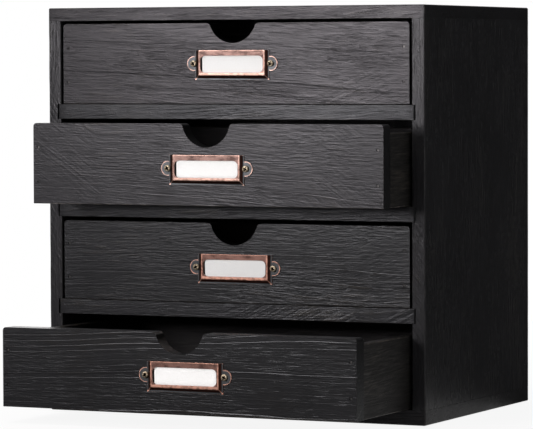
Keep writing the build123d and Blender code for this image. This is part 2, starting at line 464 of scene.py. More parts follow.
    def _plane_marks(self, bench: NodeBench, at: Value) -> NodeSocket:
        """Draws the short slanting marks that the plane left.

        Args:
            bench: the material's bench.
            at: point with the grain along X.

        Returns:
            Height of the marks, about 0.
        """
        turned = bench.add("Mapping", {"Vector": at, "Rotation": (0.0, math.radians(self.slant), 0.0)})
        where = bench.spread(bench.noise(at, 21.0, 1.0), 0.44, 0.60)
        return bench.math("MULTIPLY", bench.streaks(turned.outputs["Vector"], PLANE_MARK), where)


@dataclass(frozen=True)
class StainedPlywood:
    """Thin three-ply panel under the same black stain, with its layers showing at the edges.

    Attributes:
        wood: finish of its outer veneers.
        core: colour of the cross-laid middle layer.
        layer: thickness of one layer, in metres.
    """

    wood: StainedWood = StainedWood(
        ring_pitch=0.0048, ring_weight=0.8, chatter=0.0, gloss=0.3, roughness=(0.46, 0.62)
    )
    core: Colour = (0.044, 0.037, 0.030, 1.0)
    layer: float = 0.001

    def material(self, name: str, cut: BoardCut, middle: Vector, thin: int) -> Material:
        """Makes the finish for one panel.

        Args:
            name: the material's name.
            cut: way that the veneer was peeled.
            middle: middle of the panel.
            thin: axis that the panel is thin along.

        Returns:
            The material.
        """
        material = self.wood.material(name, cut, middle)
        shader = next(node for node in material.node_tree.nodes if node.type == "BSDF_PRINCIPLED")
        bench = NodeBench(material.node_tree, keep=True)
        coordinates, axis = bench.add("TexCoord").outputs, tuple(unit(thin))
        off = bench.vector("SUBTRACT", coordinates["Object"], tuple(middle))
        depth = bench.math("ABSOLUTE", bench.vector("DOT_PRODUCT", off, axis))
        inside = bench.spread(depth, self.layer * 0.42, self.layer * 0.58, (1.0, 0.0))
        facing = bench.math("ABSOLUTE", bench.vector("DOT_PRODUCT", coordinates["Normal"], axis))
        edge = bench.spread(facing, 0.25, 0.6, (1.0, 0.0))
        veneer = shader.inputs["Base Color"].links[0].from_socket
        colour = bench.blend(bench.math("MULTIPLY", inside, edge), veneer, self.core)
        bench.feed(shader.inputs["Base Color"], colour)
        return material


@dataclass(frozen=True)
class FrameFace:
    """Where a label frame's raised face and its ears lie, for the rims' rubbed wear and painted highlights.

    Attributes:
        middle: point between the two screws.
        half: half the face's width.
        bottom: lower edge of the face over the screws.
        top: upper edge of the face over the screws.
        screw: distance of a screw from the middle.
        ear: radius of an ear.
        flange: half the width over the flange.
        low: lower edge of the flange over the screws.
    """

    middle: Vector
    half: float
    bottom: float
    top: float
    screw: float
    ear: float
    flange: float
    low: float


@dataclass(frozen=True)
class AntiqueCopper:
    """Pressed metal with a dark copper patina, rubbed bright along its edges, with painted shade on its walls
    and painted highlights along its rims.

    Attributes:
        patina: colour of the flats.
        streak: darker colour in patches of the patina.
        flange: grey of the thin-plated flange and ears.
        wall: near-black colour on the folds and the sloped walls, the folds' dark patina and painted shade on
            the walls.
        bright: colour of the rubbed edges, and of the painted highlights along the rims.
        rim: width over which the rubbing and the painted highlights fade from an edge, in metres.
        roughness: lowest and highest roughness.
    """

    patina: Colour = (0.158, 0.098, 0.084, 1.0)
    streak: Colour = (0.070, 0.043, 0.038, 1.0)
    flange: Colour = (0.066, 0.068, 0.071, 1.0)
    wall: Colour = (0.048, 0.017, 0.012, 1.0)
    bright: Colour = (0.640, 0.400, 0.325, 1.0)
    rim: float = 0.58 * MM
    roughness: Span = (0.38, 0.48)

    def material(self, name: str, place: FrameFace) -> Material:
        """Makes the finish for one frame.

        Args:
            name: the material's name.
            place: where the frame's face lies.

        Returns:
            The material.
        """
        material, bench = new_material(name)
        at = bench.add("TexCoord").outputs["Object"]
        cloud = bench.noise(bench.stretch(at, 0.45), 330.0, 4.0, 0.6)
        speck = bench.noise(at, 2600.0, 2.0, 0.6)
        mottle = bench.math("MULTIPLY_ADD", bench.math("SUBTRACT", speck, 0.5), 0.4, cloud)
        colour = bench.blend(bench.spread(mottle, 0.44, 0.70), self.patina, self.streak)
        darkening = bench.attribute(DARKENING_LAYER)
        colour = bench.blend(bench.spread(darkening, 0.0, 0.5), colour, self.flange)
        # painted shade: the sloped walls and the sheet's back go near black, over the folds' patina
        colour = bench.blend(bench.spread(darkening, 0.5, 1.0, (0.0, 0.95)), colour, self.wall)
        rub = bench.spread(bench.noise(at, 420.0), 0.30, 0.62, (0.35, 1.0))
        worn_and_highlit = bench.math("MAXIMUM", bench.attribute(WEAR_LAYER), self._rims(bench, at, place))
        # rubbed wear on the marked edges, and painted highlights from the rims
        colour = bench.blend(bench.math("MULTIPLY", worn_and_highlit, rub), colour, self.bright)
        rough = bench.spread(mottle, 0.30, 0.75, self.roughness)
        bench.principled(colour, rough, (0.2, FINE_RELIEF, mottle), {"Metallic": 1.0})
        return material

    def _rims(self, bench: NodeBench, at: Value, place: FrameFace) -> NodeSocket:
        """Works out where the edges of the face and of the ears are brightened, by rubbing and by painted
        highlights.

        Args:
            bench: the material's bench.
            at: point on the frame.
            place: where the frame's face lies.

        Returns:
            Share of bright metal.
        """
        rim, low = self.rim, place.bottom
        off = bench.vector("SUBTRACT", at, tuple(place.middle))
        split = bench.add("SeparateXYZ", {"Vector": off}).outputs
        across, height = bench.math("ABSOLUTE", split["X"]), split["Z"]
        up, out = bench.math("SUBTRACT", height, low), bench.math("SUBTRACT", across, place.half)
        inside = bench.math("MINIMUM", up, bench.math("SUBTRACT", place.top, height))
        inside = bench.math("MINIMUM", inside, bench.math("SUBTRACT", place.half, across))
        # rubbed edges round the face
        face = bench.spread(inside, 0.2 * rim, rim, (0.75, 0.0))
        # painted highlight: a bright band along the face's lower edge
        band = bench.spread(height, low + 2.0 * rim, low + 3.0 * rim, (0.70, 0.0))
        face = bench.math("MAXIMUM", face, band)
        face = bench.math("MULTIPLY", face, bench.spread(inside, -0.5 * rim, -0.25 * rim))
        # rubbed wear and painted highlight round each ear's rim
        radius = bench.distance(bench.math("SUBTRACT", across, place.screw), height)
        ear = bench.spread(radius, place.ear - rim, place.ear - 0.5 * rim, (0.0, 0.7))
        ear = bench.math("MULTIPLY", ear, bench.spread(across, place.flange, place.flange + 0.2 * rim))
        # painted highlight at the flange's lower corners
        beside = bench.math("SUBTRACT", across, place.flange)
        under = bench.math("SUBTRACT", height, place.low)
        tip = bench.spread(bench.distance(beside, under), rim, 2.2 * rim, (0.9, 0.0))
        # painted highlight along the mitres from the face's lower corners
        skew = bench.math("ABSOLUTE", bench.math("ADD", out, up))
        mitre = bench.spread(skew, 0.4 * rim, 0.9 * rim, (0.8, 0.0))
        mitre = bench.math("MULTIPLY", mitre, bench.spread(out, 0.0, 0.2 * rim))
        mitre = bench.math("MULTIPLY", mitre, bench.spread(height, low - 0.2 * rim, low, (1.0, 0.0)))
        return bench.math("MAXIMUM", bench.math("MAXIMUM", face, ear), bench.math("MAXIMUM", tip, mitre))


@dataclass(frozen=True)
class AgedMetal:
    """Small turned or drawn metal piece, with painted shade in its recesses.

    Attributes:
        clean: colour of the metal.
        dull: colour where it has tarnished.
        darkening: dark colour painted into its recesses as shade.
        roughness: lowest and highest roughness.
        cloud: patches of tarnish per metre.
    """

    clean: Colour
    dull: Colour
    darkening: Colour
    roughness: Span
    cloud: float = 900.0

    def material(self, name: str) -> Material:
        """Makes the finish.

        Args:
            name: the material's name.

        Returns:
            The material.
        """
        material, bench = new_material(name)
        cloud = bench.noise(bench.add("TexCoord").outputs["Object"], self.cloud, 4.0, 0.65)
        colour = bench.blend(bench.spread(cloud, 0.38, 0.70), self.clean, self.dull)
        # painted shade in the recesses
        colour = bench.blend(bench.attribute(DARKENING_LAYER), colour, self.darkening)
        rough = bench.spread(cloud, 0.30, 0.75, self.roughness)
        bench.principled(colour, rough, (0.2, FINE_RELIEF, cloud), {"Metallic": 1.0})
        return material


@dataclass(frozen=True)
class WhiteCard:
    """Uncoated white card stock.

    Attributes:
        paper: colour of the sheet.
        fibre: colour of the faint fibres in it.
    """

    paper: Colour = (0.900, 0.895, 0.880, 1.0)
    fibre: Colour = (0.840, 0.830, 0.805, 1.0)

    def material(self, name: str) -> Material:
        """Makes the finish.

        Args:
            name: the material's name.

        Returns:
            The material.
        """
        material, bench = new_material(name)
        pulp = bench.noise(bench.add("TexCoord").outputs["Object"], 1500.0, 4.0, 0.65)
        colour = bench.blend(bench.spread(pulp, 0.45, 0.80), self.paper, self.fibre)
        bench.principled(colour, 0.85, (0.3, FINE_RELIEF, pulp), {"Specular IOR Level": 0.2})
        return material


@dataclass(frozen=True)
class FrontPlan:
    """What differs from one drawer front to the next.

    Attributes:
        cut: how the board was sawn.
        notch_rise: height of the finger notch's centre over the top edge.
        notch_shift: how far the notch lies to the right of the middle.
        chatter: how strongly the marks of the plane show.
        gloss: shine that the stain left on it.
        dark: share of the deep colour mixed over the front, painted shade that makes the lower fronts darker.
        relief: height of the raised grain.
        lines: how strongly the growth rings show.
        fine: how strongly the strands, the flecks and the fibres show.
        cast: cast of the stain's shine.
        slant: how far the marks of the plane rise across the grain, in degrees.
        copper: finish of the label frame.
    """

    cut: BoardCut
    notch_rise: float
    notch_shift: float
    chatter: float
    gloss: float
    dark: float
    relief: float
    lines: float
    fine: float
    cast: Colour
    slant: float = 24.0
    copper: AntiqueCopper = AntiqueCopper()

    def wood(self) -> StainedWood:
        """Finish of the front."""
        return StainedWood(
            cast=self.cast, ring_weight=self.lines, strand_weight=self.fine, fleck_weight=self.fine,
            fibre_weight=self.fine, chatter=self.chatter, slant=self.slant, dark=self.dark,
            relief=self.relief, gloss=self.gloss,
        )


# lighter, redder copy of the copper for the two lower frames, its brighter rims a painted highlight
HIGHLIT_LOWER_COPPER = AntiqueCopper(
    patina=(0.195, 0.108, 0.088, 1.0), streak=(0.095, 0.052, 0.043, 1.0), bright=(0.82, 0.44, 0.33, 1.0),
    roughness=(0.48, 0.60),
)
# the two lower fronts carry painted shade through dark, darker towards the bottom
FRONT_PLANS: tuple[FrontPlan, ...] = (
    FrontPlan(
        BoardCut(GrainAxis.ACROSS, (0.030, -0.058), (-0.025, -0.03)), notch_rise=3.75 * MM, notch_shift=0.0,
        chatter=0.4, gloss=0.24, dark=0.0, relief=0.000115, lines=1.3, fine=1.0, cast=VIOLET,
    ),
    FrontPlan(
        BoardCut(GrainAxis.ACROSS, (0.026, -0.056), (-0.03, -0.02)), notch_rise=1.85 * MM,
        notch_shift=1.0 * MM, chatter=0.55, gloss=0.225, dark=0.0, relief=0.000100, lines=1.2, fine=0.9,
        cast=(0.985, 0.955, 1.0, 1.0), slant=-32.0,
    ),
    FrontPlan(
        BoardCut(GrainAxis.ACROSS, (0.024, -0.046), (0.02, -0.03)), notch_rise=2.5 * MM, notch_shift=0.6 * MM,
        chatter=0.3, gloss=0.195, dark=0.1, relief=0.000125, lines=1.3, fine=1.0, cast=NEUTRAL,
        copper=HIGHLIT_LOWER_COPPER,
    ),
    FrontPlan(
        BoardCut(GrainAxis.ACROSS, (0.040, -0.062), (0.01, 0.02)), notch_rise=2.95 * MM, notch_shift=2.2 * MM,
        chatter=0.2, gloss=0.225, dark=0.6, relief=0.000125, lines=2.0, fine=0.6, cast=NEUTRAL,
        copper=HIGHLIT_LOWER_COPPER,
    ),
)
CABINET_CUTS: dict[str, BoardCut] = {
    "top_panel": BoardCut(GrainAxis.ACROSS, (0.012, -0.075), (0.02, 0.015)),
    "bottom_panel": BoardCut(GrainAxis.ACROSS, (-0.03, 0.085), (0.02, 0.015)),
    "left_side_panel": BoardCut(GrainAxis.UPRIGHT, (-0.062, 0.022), (-0.03, 0.02)),
    "right_side_panel": BoardCut(GrainAxis.UPRIGHT, (0.050, 0.030), (0.03, 0.02)),
    "shelf_1": BoardCut(GrainAxis.ACROSS, (0.020, -0.050), (0.05, 0.04)),
    "shelf_2": BoardCut(GrainAxis.ACROSS, (-0.015, 0.060), (0.05, 0.0)),
    "shelf_3": BoardCut(GrainAxis.ACROSS, (0.030, -0.038), (0.05, -0.04)),
    "back_panel": BoardCut(GrainAxis.UPRIGHT, (0.11, 0.02), (0.05, 0.03)),
}
BOX_WOOD = StainedWood(
    deep=(0.0070, 0.0067, 0.0062, 1.0), body=(0.0170, 0.0161, 0.0149, 1.0),
    ridge=(0.0400, 0.0370, 0.0335, 1.0), warm=(0.0430, 0.0380, 0.0320, 1.0),
    ring_weight=0.7, gloss=0.22, roughness=(0.40, 0.54),
)
BRASS = AgedMetal((0.62, 0.52, 0.38, 1.0), (0.32, 0.24, 0.16, 1.0), (0.004, 0.003, 0.002, 1.0), (0.40, 0.58))
STEEL = AgedMetal(
    (0.085, 0.080, 0.078, 1.0), (0.004, 0.004, 0.004, 1.0), (0.02, 0.02, 0.02, 1.0), (0.4, 0.6), 55.0
)


def unit(axis: int) -> Vector:
    """Unit vector along an axis."""
    return Vector(tuple(float(index == axis) for index in range(3)))


def centred(middle: float, size: float) -> Span:
    """Low and high end of a size about its middle."""
    return middle - size / 2, middle + size / 2


def middle_of(node: str) -> Vector:
    """Middle of a CAD node's box."""
    low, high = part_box(node)
    return (low + high) / 2


def middle_on(node: str, axis: int) -> float:
    """Middle of a CAD node's box on one axis, in full precision."""
    return sum(corner[axis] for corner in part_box(node)) / 2


def only(geometry: Iterable[object], kind: type) -> list:
    """Picks one kind of element out of an operator's mixed result."""
    return [element for element in geometry if isinstance(element, kind)]


def on_level(element: Union[BMEdge, BMFace], axis: int, level: float, reach: float = TOUCH) -> bool:
    """Whether an edge or a face lies in the plane at a level of an axis."""
    return all(abs(vertex.co[axis] - level) < reach for vertex in element.verts)


def running(edges: Iterable[BMEdge], axis: int) -> list[BMEdge]:
    """Picks the edges that run along an axis."""
    return [e for e in edges if abs((e.verts[0].co - e.verts[1].co).normalized()[axis]) > ALONG]


def outer_edges(shape: BMesh, angle: float = 30.0) -> list[BMEdge]:
    """Finds the arrises that stand out.

    Args:
        shape: the shape.
        angle: least turn between the two faces, in degrees.

    Returns:
        The edges.
    """
    shape.normal_update()
    least = math.radians(angle)
    return [edge for edge in shape.edges if edge.is_manifold and edge.calc_face_angle_signed(0.0) > least]


def new_shape(*layers: str) -> BMesh:
    """Starts an empty shape.

    Args:
        *layers: face attributes that it will carry.

    Returns:
        The shape.
    """
    shape = bmesh.new()
    for name in layers:
        shape.faces.layers.float.new(name)
    return shape


def mark_faces(shape: BMesh, layer: str, faces: Iterable[BMFace], level: float = 1.0) -> None:
    """Writes a number on some faces.

    Args:
        shape: the shape.
        layer: name of the face attribute.
        faces: the faces.
        level: the number.
    """
    key = shape.faces.layers.float[layer]
    for face in faces:
        face[key] = level


def bevel(
    shape: BMesh, geometry: Iterable[Union[BMVert, BMEdge]], radius: float, segments: int,
    affect: str = "EDGES",
) -> list[BMFace]:
    """Rounds edges or corners over.

    Args:
        shape: the shape.
        geometry: the edges, or the vertices of the corners.
        radius: how far back the rounding reaches, in metres.
        segments: steps round it.
        affect: whether it is EDGES or VERTICES.

    Returns:
        The rounding's faces.
    """
    return bmesh.ops.bevel(
        shape, geom=list(geometry), offset=radius, offset_type="OFFSET", segments=segments, profile=0.5,
        affect=affect, clamp_overlap=True, material=-1,
    )["faces"]


def ease(shape: BMesh, edges: Iterable[BMEdge], radius: float, segments: int = 3) -> None:
    """Rounds arrises over and marks them as worn."""
    mark_faces(shape, WEAR_LAYER, bevel(shape, edges, radius, segments))


def cut_across(shape: BMesh, faces: Iterable[BMFace], axis: int, place: float) -> None:
    """Cuts faces where they cross a plane.

    Args:
        shape: the shape.
        faces: the faces.
        axis: axis that the plane looks along.
        place: where the plane lies on it.
    """
    faces, normal = list(faces), unit(axis)
    edges = {edge for face in faces for edge in face.edges}
    verts = {vertex for face in faces for vertex in face.verts}
    geometry = [*verts, *edges, *faces]
    bmesh.ops.bisect_plane(shape, geom=geometry, dist=WELD, plane_co=normal * place, plane_no=normal)


def slice_along(shape: BMesh, axis: int, pitch: float) -> None:
    """Cuts a shape's faces at even steps along one axis.

    Args:
        shape: the shape.
        axis: the axis.
        pitch: wished distance between the cuts, in metres.
    """
    places = [vertex.co[axis] for vertex in shape.verts]
    low, run = min(places), max(places) - min(places)
    count = max(1, round(run / pitch))
    for step in range(1, count):
        cut_across(shape, shape.faces, axis, low + run * step / count)


def push_faces(shape: BMesh, faces: list[BMFace], move: Vector) -> list[BMVert]:
    """Pushes a patch of a surface in or out and walls it round.

    Args:
        shape: the shape.
        faces: the patch.
        move: where it goes.

    Returns:
        The patch's vertices in their new place.
    """
    grown = bmesh.ops.extrude_face_region(shape, geom=faces)
    bmesh.ops.delete(shape, geom=[face for face in faces if face.is_valid], context="FACES")
    verts = only(grown["geom"], BMVert)
    bmesh.ops.translate(shape, verts=verts, vec=move)
    return verts


def sink_pocket(
    shape: BMesh, axis: int, level: float, spans: dict[int, Span], depth: float, painted_shade: float = 0.0
) -> None:
    """Sinks a rectangle of a flat face into the board.

    Args:
        shape: the shape.
        axis: axis that the flat face looks along.
        level: where the face lies on it.
        spans: low and high end of the rectangle on the other two axes.
        depth: signed way that the rectangle moves along the axis.
        painted_shade: how much painted shade darkens it.
    """

    def reaches(face: BMFace, across: int, margin: float) -> bool:
        """Whether a face reaches further than a margin into the rectangle's span on an axis."""
        places = [vertex.co[across] for vertex in face.verts]
        return min(places) < spans[across][1] - margin and max(places) > spans[across][0] + margin

    def flat_faces(margin: float) -> list[BMFace]:
        """Faces on the level that reach further than a margin into the rectangle."""
        flat = [face for face in shape.faces if on_level(face, axis, level)]
        return [face for face in flat if all(reaches(face, across, margin) for across in spans)]

    for across, span in spans.items():
        for place in span:
            cut_across(shape, flat_faces(WELD), across, place)
    floor = push_faces(shape, flat_faces(TOUCH), unit(axis) * depth)
    # the pocket's floor and walls take that share of painted shade
    mark_faces(shape, DARKENING_LAYER, {face for vertex in floor for face in vertex.link_faces}, painted_shade)


def sink_brads(shape: BMesh, axis: int, level: float, places: Iterable[dict[int, float]], way: float) -> None:
    """Sinks the holes over set brads, with painted shade darkening them.

    Args:
        shape: the shape.
        axis: axis that the board's flat face looks along.
        level: where the face lies on it.
        places: middle of each hole on the other two axes.
        way: 1 or -1, the way into the board along the axis.
    """
    for place in places:
        spans = {across: centred(middle, size) for (across, middle), size in zip(place.items(), BRAD_HOLE)}
        sink_pocket(shape, axis, level, spans, way * DIMPLE, 1.0)


def thicken(shape: BMesh, face: BMFace, run: float) -> None:
    """Draws a face out along Y into a solid.

    Args:
        shape: the shape.
        face: its front face.
        run: how deep it gets.
    """
    grown = bmesh.ops.extrude_face_region(shape, geom=[face])
    bmesh.ops.translate(shape, verts=only(grown["geom"], BMVert), vec=(0.0, run, 0.0))
    bmesh.ops.recalc_face_normals(shape, faces=shape.faces)


def block_shape(low: Vector, high: Vector) -> BMesh:
    """Starts a board from a cube.

    Args:
        low: its lowest corner.
        high: its highest corner.

    Returns:
        The shape.
    """
    shape = new_shape(WEAR_LAYER, DARKENING_LAYER)
    bmesh.ops.create_cube(shape, size=1.0)
    bmesh.ops.scale(shape, vec=high - low, verts=shape.verts)
    bmesh.ops.translate(shape, vec=(low + high) / 2, verts=shape.verts)
    return shape


def section_shape(section: Sequence[Span], run: Span) -> BMesh:
    """Starts a board from its section, seen along its depth.

    Args:
        section: corners of the section, as x and z.
        run: front and rear end of the board.

    Returns:
        The shape.
    """
    shape = new_shape(WEAR_LAYER, DARKENING_LAYER)
    thicken(shape, shape.faces.new([shape.verts.new((x, run[0], z)) for x, z in section]), run[1] - run[0])
    return shape


def rub_arrises(shape: BMesh) -> None:
    """Rubs the rounded arrises down by an uneven amount, as sanding by hand leaves them.

    Args:
        shape: the shape, its arrises already rounded.
    """
    key = shape.faces.layers.float[WEAR_LAYER]
    shape.normal_update()
    for vertex in shape.verts:
        if all(face[key] > 0.5 for face in vertex.link_faces):
            vertex.co -= vertex.normal * RUB * max(0.0, noise.noise(vertex.co * RUB_PATCHES) + 0.25)


@dataclass(frozen=True)
class PieceTag:
    """Where a dressed piece belongs.

    Attributes:
        name: the piece's name.
        body: CAD body that it rides on.
        slot: name of its material slot; not used.
        nodes: CAD nodes that it stands for.
    """

    name: str
    body: str
    slot: str
    nodes: tuple[str, ...]


def mount_piece(shape: BMesh, tag: PieceTag, material: Material) -> Object:
    """Turns a finished shape into a dressed piece on its CAD body.

    Args:
        shape: the shape, in place; it is freed.
        tag: where the piece belongs.
        material: its finish.

    Returns:
        The piece.
    """
    bmesh.ops.remove_doubles(shape, verts=shape.verts, dist=WELD)
    bmesh.ops.recalc_face_normals(shape, faces=shape.faces)
    for face in shape.faces:
        face.smooth = True
    mesh = bpy.data.meshes.new(tag.name)
    shape.to_mesh(mesh)
    shape.free()
    mesh.set_sharp_from_angle(angle=math.radians(SMOOTH_ANGLE))
    mesh.materials.append(material)
    piece = bpy.data.objects.new(tag.name, mesh)
    bpy.context.scene.collection.objects.link(piece)
    weighted = piece.modifiers.new("even_normals", "WEIGHTED_NORMAL")
    weighted.keep_sharp = True
    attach(piece, tag.body)
    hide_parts(*tag.nodes)
    LOG.info("%s rides on %s with %d faces", tag.name, tag.body, len(mesh.polygons))
    return piece


def mount_board(shape: BMesh, node: str, body: str, wood: StainedWood, cut: BoardCut) -> None:
    """Rubs a solid board down and mounts it with its own cut of the wood.

    Args:
        shape: the board.
        node: CAD node that it stands for.
        body: CAD body that it rides on.
        wood: its finish.
        cut: how it was sawn.
    """
    rub_arrises(shape)
    material = wood.material(f"stained_{node}", cut, middle_of(node))
    mount_piece(shape, PieceTag(f"{node}_board", body, "stained_wood", (node,)), material)


@dataclass
class CabinetCarcass:
    """Fixed cabinet: four outer boards, three housed shelves and a nailed-on back.

    Attributes:
        arris: rounding of the boards' edges.
        step: distance between the cuts that let an arris waver.
        joint: rounding of the top and bottom boards' edges at their joints.
        end_chamfer: chamfer of the shelves' ends, beside the sides.
        end_shade: how much painted shade darkens that chamfer into a dark line beside the sides.
        seam: rounding of the shelves' long edges.
        housing: depth of the shelves' housings in the sides.
        play: glue room over a shelf in its housing.
        carcass_brad_y: places of the brads in the top and bottom boards, from front to back.
        back_brad_x: places of the brads in the back, from left to right.
        body: CAD body.
        wood: finish of the top and bottom boards.
        shelf_wood: finish of the shelves.
        shelf_chatter: how strongly each shelf shows the marks of the plane.
        side_wood: finish of the sides.
        ply: finish of the back.
    """

    arris: float = 0.75 * MM
    step: float = 7.0 * MM
    joint: float = 0.15 * MM
    end_chamfer: float = 1.2 * MM
    end_shade: float = 0.8
    seam: float = 0.3 * MM
    housing: float = 2.5 * MM
    play: float = 0.1 * MM
    carcass_brad_y: tuple[float, ...] = (-64 * MM, 0.0, 64 * MM)
    back_brad_x: tuple[float, ...] = (-84 * MM, 0.0, 84 * MM)
    body: str = "cabinet"
    wood: StainedWood = StainedWood(rubbed=(0.045, 0.043, 0.042, 1.0))
    shelf_wood: StainedWood = StainedWood(rubbed=(0.045, 0.043, 0.042, 1.0), cast=(0.955, 0.955, 1.0, 1.0))
    shelf_chatter: tuple[float, ...] = (0.3, 0.3, 1.1)
    side_wood: StainedWood = StainedWood(
        rubbed=(0.030, 0.029, 0.029, 1.0), cast=(0.98, 0.96, 1.0, 1.0), ridge=(0.0235, 0.0230, 0.0240, 1.0),
        warm=(0.0245, 0.0230, 0.0222, 1.0), ring_weight=0.30, strand_weight=0.60, fleck_weight=1.6,
        chatter=0.6, slant=35.0, relief=0.00018, gloss=0.205,
    )
    ply: StainedPlywood = StainedPlywood()

    def build(self) -> None:
        """Builds and dresses every board."""
        for node, face_up in (("top_panel", True), ("bottom_panel", False)):
            self._cross_panel(node, face_up)
        for node, side in (("left_side_panel", -1.0), ("right_side_panel", 1.0)):
            self._side_panel(node, side)
        for node, chatter in zip(SHELVES, self.shelf_chatter):
            self._shelf(node, chatter)
        self._back_panel()

    def _cross_panel(self, node: str, face_up: bool) -> None:
        """Builds the top or the bottom board.

        Args:
            node: CAD node that it stands for.
            face_up: whether its outer face looks up.
        """
        low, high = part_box(node)
        shape = block_shape(low, high)
        slice_along(shape, 0, self.step)
        joint, level, way = (low.z, high.z, -1.0) if face_up else (high.z, low.z, 1.0)
        ease(shape, [e for e in outer_edges(shape) if not on_level(e, 2, joint)], self.arris)
        ease(shape, [e for e in outer_edges(shape) if on_level(e, 2, joint)], self.joint, 2)
        inset = high.x - middle_on("right_side_panel", 0)
        ends = (low.x + inset, high.x - inset)
        sink_brads(shape, 2, level, [{0: x, 1: y} for x in ends for y in self.carcass_brad_y], way)
        mount_board(shape, node, self.body, self.wood, CABINET_CUTS[node])

    def _side_panel(self, node: str, side: float) -> None:
        """Builds a side board with a housing for each shelf.

        Args:
            node: CAD node that it stands for.
            side: -1 for the left, 1 for the right.
        """
        low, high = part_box(node)
        outer, inner = (high.x, low.x) if side > 0 else (low.x, high.x)
        section = [(outer, low.z), (outer, high.z), (inner, high.z)]
        floor = inner + side * self.housing
        for shelf in SHELVES:
            bottom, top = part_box(shelf)[0].z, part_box(shelf)[1].z + self.play
            section += [(inner, top), (floor, top), (floor, bottom), (inner, bottom)]
        section.append((inner, low.z))
        shape = section_shape(section, (low.y, high.y))
        slice_along(shape, 2, self.step)
        upright = running(outer_edges(shape), 2)
        ease(shape, [e for e in upright if abs(e.verts[0].co.x - floor) > TOUCH], self.arris)
        mount_board(shape, node, self.body, self.side_wood, CABINET_CUTS[node])

    def _shelf(self, node: str, chatter: float) -> None:
        """Builds a shelf.

        Args:
            node: CAD node that it stands for.
            chatter: how strongly it shows the marks of the plane.
        """
        shape = block_shape(*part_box(node))
        slice_along(shape, 0, self.step)
        chamfer = bevel(shape, running(outer_edges(shape), 2), self.end_chamfer, 2)
        # painted shade in the end chamfers
        mark_faces(shape, DARKENING_LAYER, chamfer, self.end_shade)
        ease(shape, running(outer_edges(shape), 0), self.seam)
        mount_board(shape, node, self.body, replace(self.shelf_wood, chatter=chatter), CABINET_CUTS[node])

    def _back_panel(self) -> None:
        """Builds the plywood back with the dimples of its brads."""
        node = "back_panel"
        low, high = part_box(node)
        shape = block_shape(low, high)
        slice_along(shape, 2, 2 * self.step)
        ease(shape, outer_edges(shape), 0.35 * self.arris)
        levels = [middle_on(name, 2) for name in ("bottom_panel", *reversed(SHELVES), "top_panel")]
        sink_brads(shape, 1, high.y, [{0: x, 2: z} for z in levels for x in self.back_brad_x], -1.0)
        rub_arrises(shape)
        material = self.ply.material("stained_back_ply", CABINET_CUTS[node], middle_of(node), 1)
        mount_piece(shape, PieceTag("back_panel_ply", self.body, "stained_plywood", (node,)), material)


@dataclass(kw_only=True)
class DrawerPart:
    """Something that belongs to one drawer.

    Attributes:
        index: the drawer's number from the top.
    """

    index: int

    @property
    def body(self) -> str:
        """CAD body of the drawer."""
        return f"drawer_{self.index}"

    def node(self, part: str) -> str:
        """Name of one of the drawer's CAD nodes."""
        return f"drawer_{self.index}_{part}"


